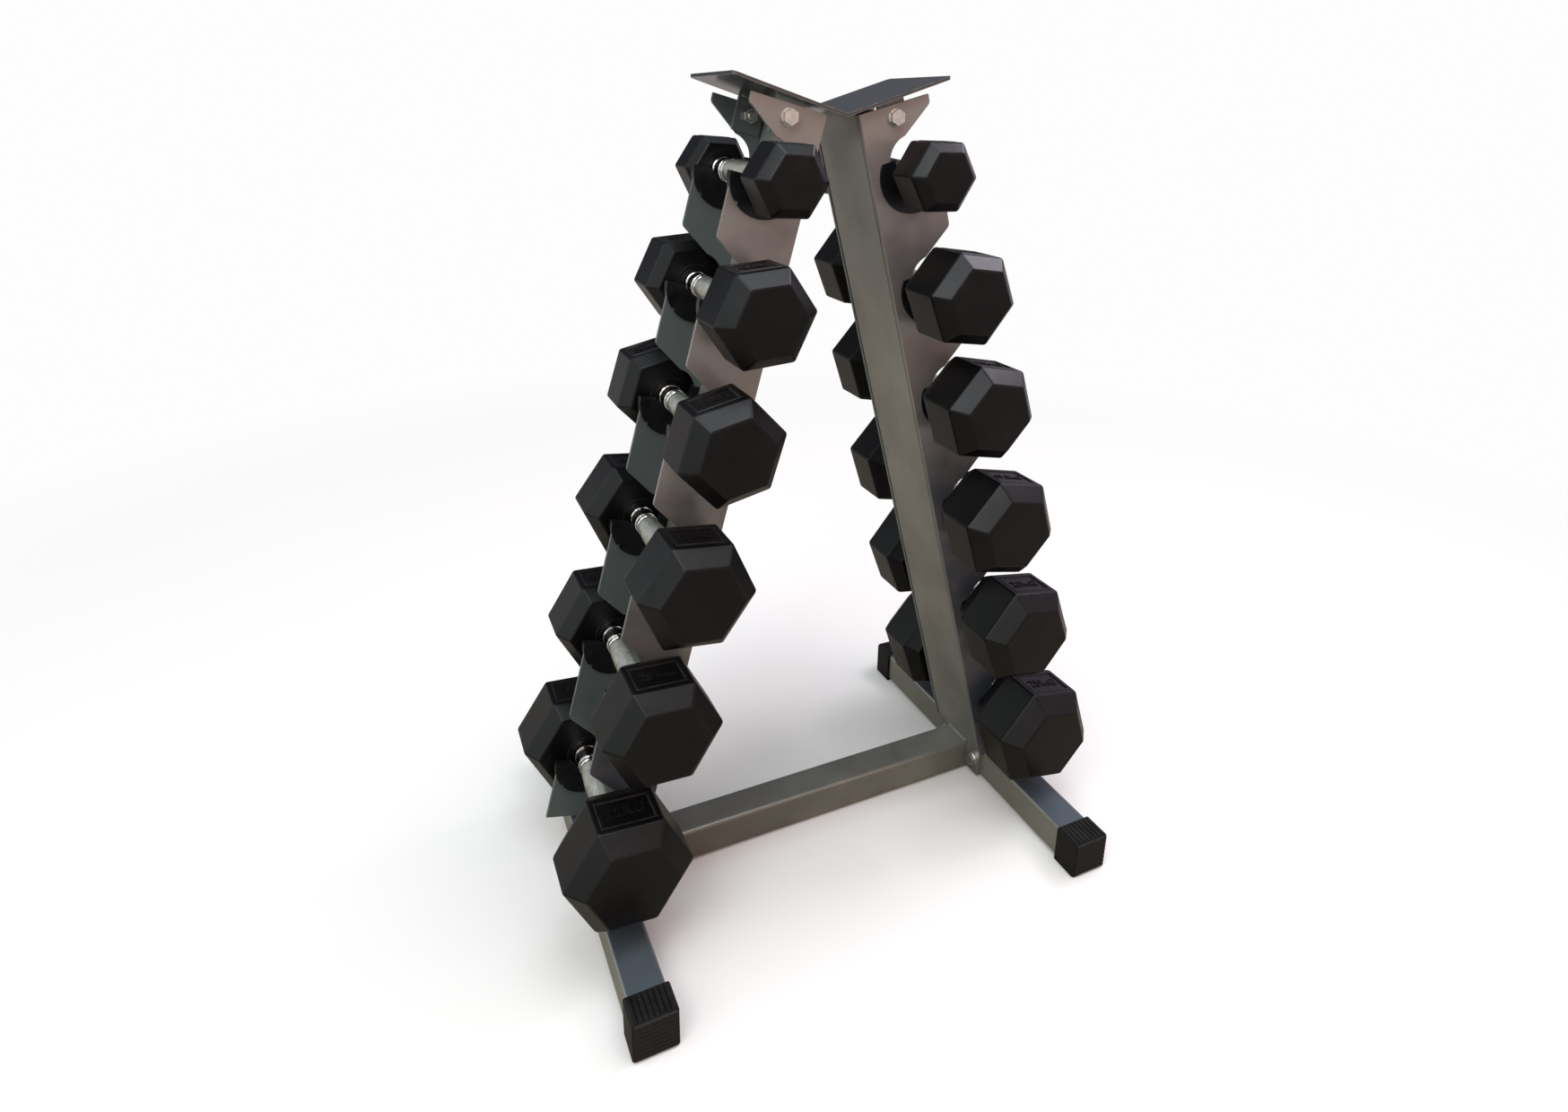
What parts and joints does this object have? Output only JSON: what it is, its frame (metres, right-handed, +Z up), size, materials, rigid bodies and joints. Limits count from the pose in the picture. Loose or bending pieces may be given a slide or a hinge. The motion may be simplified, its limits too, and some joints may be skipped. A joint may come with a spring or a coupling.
{
  "type": "dumbbell rack",
  "caption": "A-frame dumbbell rack with paired hook plates on two leaning posts, holding tiers of hex dumbbells.",
  "frame": {"origin": "centre of the overall bounding box at floor level", "axes": "+Z up; X across the two columns; Y along the dumbbells, with the front at -Y"},
  "size_m": [0.7977, 0.548, 1.09],
  "materials": {
    "graphite_paint": "satin",
    "cap_plastic": "matte",
    "saddle_rubber": "satin",
    "zinc": "satin",
    "chrome": "polished",
    "rubber_black": "satin"
  },
  "bodies": {
    "rack": {"base_bolts": "zinc", "base_nuts": "zinc", "base_washers": "zinc", "cross_tube": "graphite_paint", "end_cap_left_back": "cap_plastic", "end_cap_left_front": "cap_plastic", "end_cap_right_back": "cap_plastic", "end_cap_right_front": "cap_plastic", "flange_left": "graphite_paint", "flange_right": "graphite_paint", "foot_left": "graphite_paint", "foot_right": "graphite_paint", "hook_plate_left_back": "graphite_paint", "hook_plate_left_front": "graphite_paint", "hook_plate_right_back": "graphite_paint", "hook_plate_right_front": "graphite_paint", "post_left": "graphite_paint", "post_right": "graphite_paint", "saddle_liners_left_back": "saddle_rubber", "saddle_liners_left_front": "saddle_rubber", "saddle_liners_right_back": "saddle_rubber", "saddle_liners_right_front": "saddle_rubber", "top_bolts": "zinc", "top_lugs": "graphite_paint", "top_nuts": "zinc", "top_plate": "graphite_paint", "top_washers": "zinc"},
    "dumbbell_left_1": {"dumbbell_left_1_heads": "rubber_black", "dumbbell_left_1_handle": "chrome"},
    "dumbbell_left_2": {"dumbbell_left_2_heads": "rubber_black", "dumbbell_left_2_handle": "chrome"},
    "dumbbell_left_3": {"dumbbell_left_3_heads": "rubber_black", "dumbbell_left_3_handle": "chrome"},
    "dumbbell_left_4": {"dumbbell_left_4_heads": "rubber_black", "dumbbell_left_4_handle": "chrome"},
    "dumbbell_left_5": {"dumbbell_left_5_heads": "rubber_black", "dumbbell_left_5_handle": "chrome"},
    "dumbbell_left_6": {"dumbbell_left_6_heads": "rubber_black", "dumbbell_left_6_handle": "chrome"},
    "dumbbell_right_1": {"dumbbell_right_1_heads": "rubber_black", "dumbbell_right_1_handle": "chrome"},
    "dumbbell_right_2": {"dumbbell_right_2_heads": "rubber_black", "dumbbell_right_2_handle": "chrome"},
    "dumbbell_right_3": {"dumbbell_right_3_heads": "rubber_black", "dumbbell_right_3_handle": "chrome"},
    "dumbbell_right_4": {"dumbbell_right_4_heads": "rubber_black", "dumbbell_right_4_handle": "chrome"},
    "dumbbell_right_5": {"dumbbell_right_5_heads": "rubber_black", "dumbbell_right_5_handle": "chrome"},
    "dumbbell_right_6": {"dumbbell_right_6_heads": "rubber_black", "dumbbell_right_6_handle": "chrome"}
  },
  "joints": [
    {"name": "lift_off_left_1", "type": "slide", "parent": "rack", "child": "dumbbell_left_1", "axis": [-0.6428, 0, 0.766], "range_m": [0, 0.055]},
    {"name": "lift_off_left_2", "type": "slide", "parent": "rack", "child": "dumbbell_left_2", "axis": [-0.6428, 0, 0.766], "range_m": [0, 0.055]},
    {"name": "lift_off_left_3", "type": "slide", "parent": "rack", "child": "dumbbell_left_3", "axis": [-0.6428, 0, 0.766], "range_m": [0, 0.055]},
    {"name": "lift_off_left_4", "type": "slide", "parent": "rack", "child": "dumbbell_left_4", "axis": [-0.6428, 0, 0.766], "range_m": [0, 0.055]},
    {"name": "lift_off_left_5", "type": "slide", "parent": "rack", "child": "dumbbell_left_5", "axis": [-0.6428, 0, 0.766], "range_m": [0, 0.055]},
    {"name": "lift_off_left_6", "type": "slide", "parent": "rack", "child": "dumbbell_left_6", "axis": [-0.6428, 0, 0.766], "range_m": [0, 0.055]},
    {"name": "lift_off_right_1", "type": "slide", "parent": "rack", "child": "dumbbell_right_1", "axis": [0.6428, 0, 0.766], "range_m": [0, 0.055]},
    {"name": "lift_off_right_2", "type": "slide", "parent": "rack", "child": "dumbbell_right_2", "axis": [0.6428, 0, 0.766], "range_m": [0, 0.055]},
    {"name": "lift_off_right_3", "type": "slide", "parent": "rack", "child": "dumbbell_right_3", "axis": [0.6428, 0, 0.766], "range_m": [0, 0.055]},
    {"name": "lift_off_right_4", "type": "slide", "parent": "rack", "child": "dumbbell_right_4", "axis": [0.6428, 0, 0.766], "range_m": [0, 0.055]},
    {"name": "lift_off_right_5", "type": "slide", "parent": "rack", "child": "dumbbell_right_5", "axis": [0.6428, 0, 0.766], "range_m": [0, 0.055]},
    {"name": "lift_off_right_6", "type": "slide", "parent": "rack", "child": "dumbbell_right_6", "axis": [0.6428, 0, 0.766], "range_m": [0, 0.055]}
  ]
}
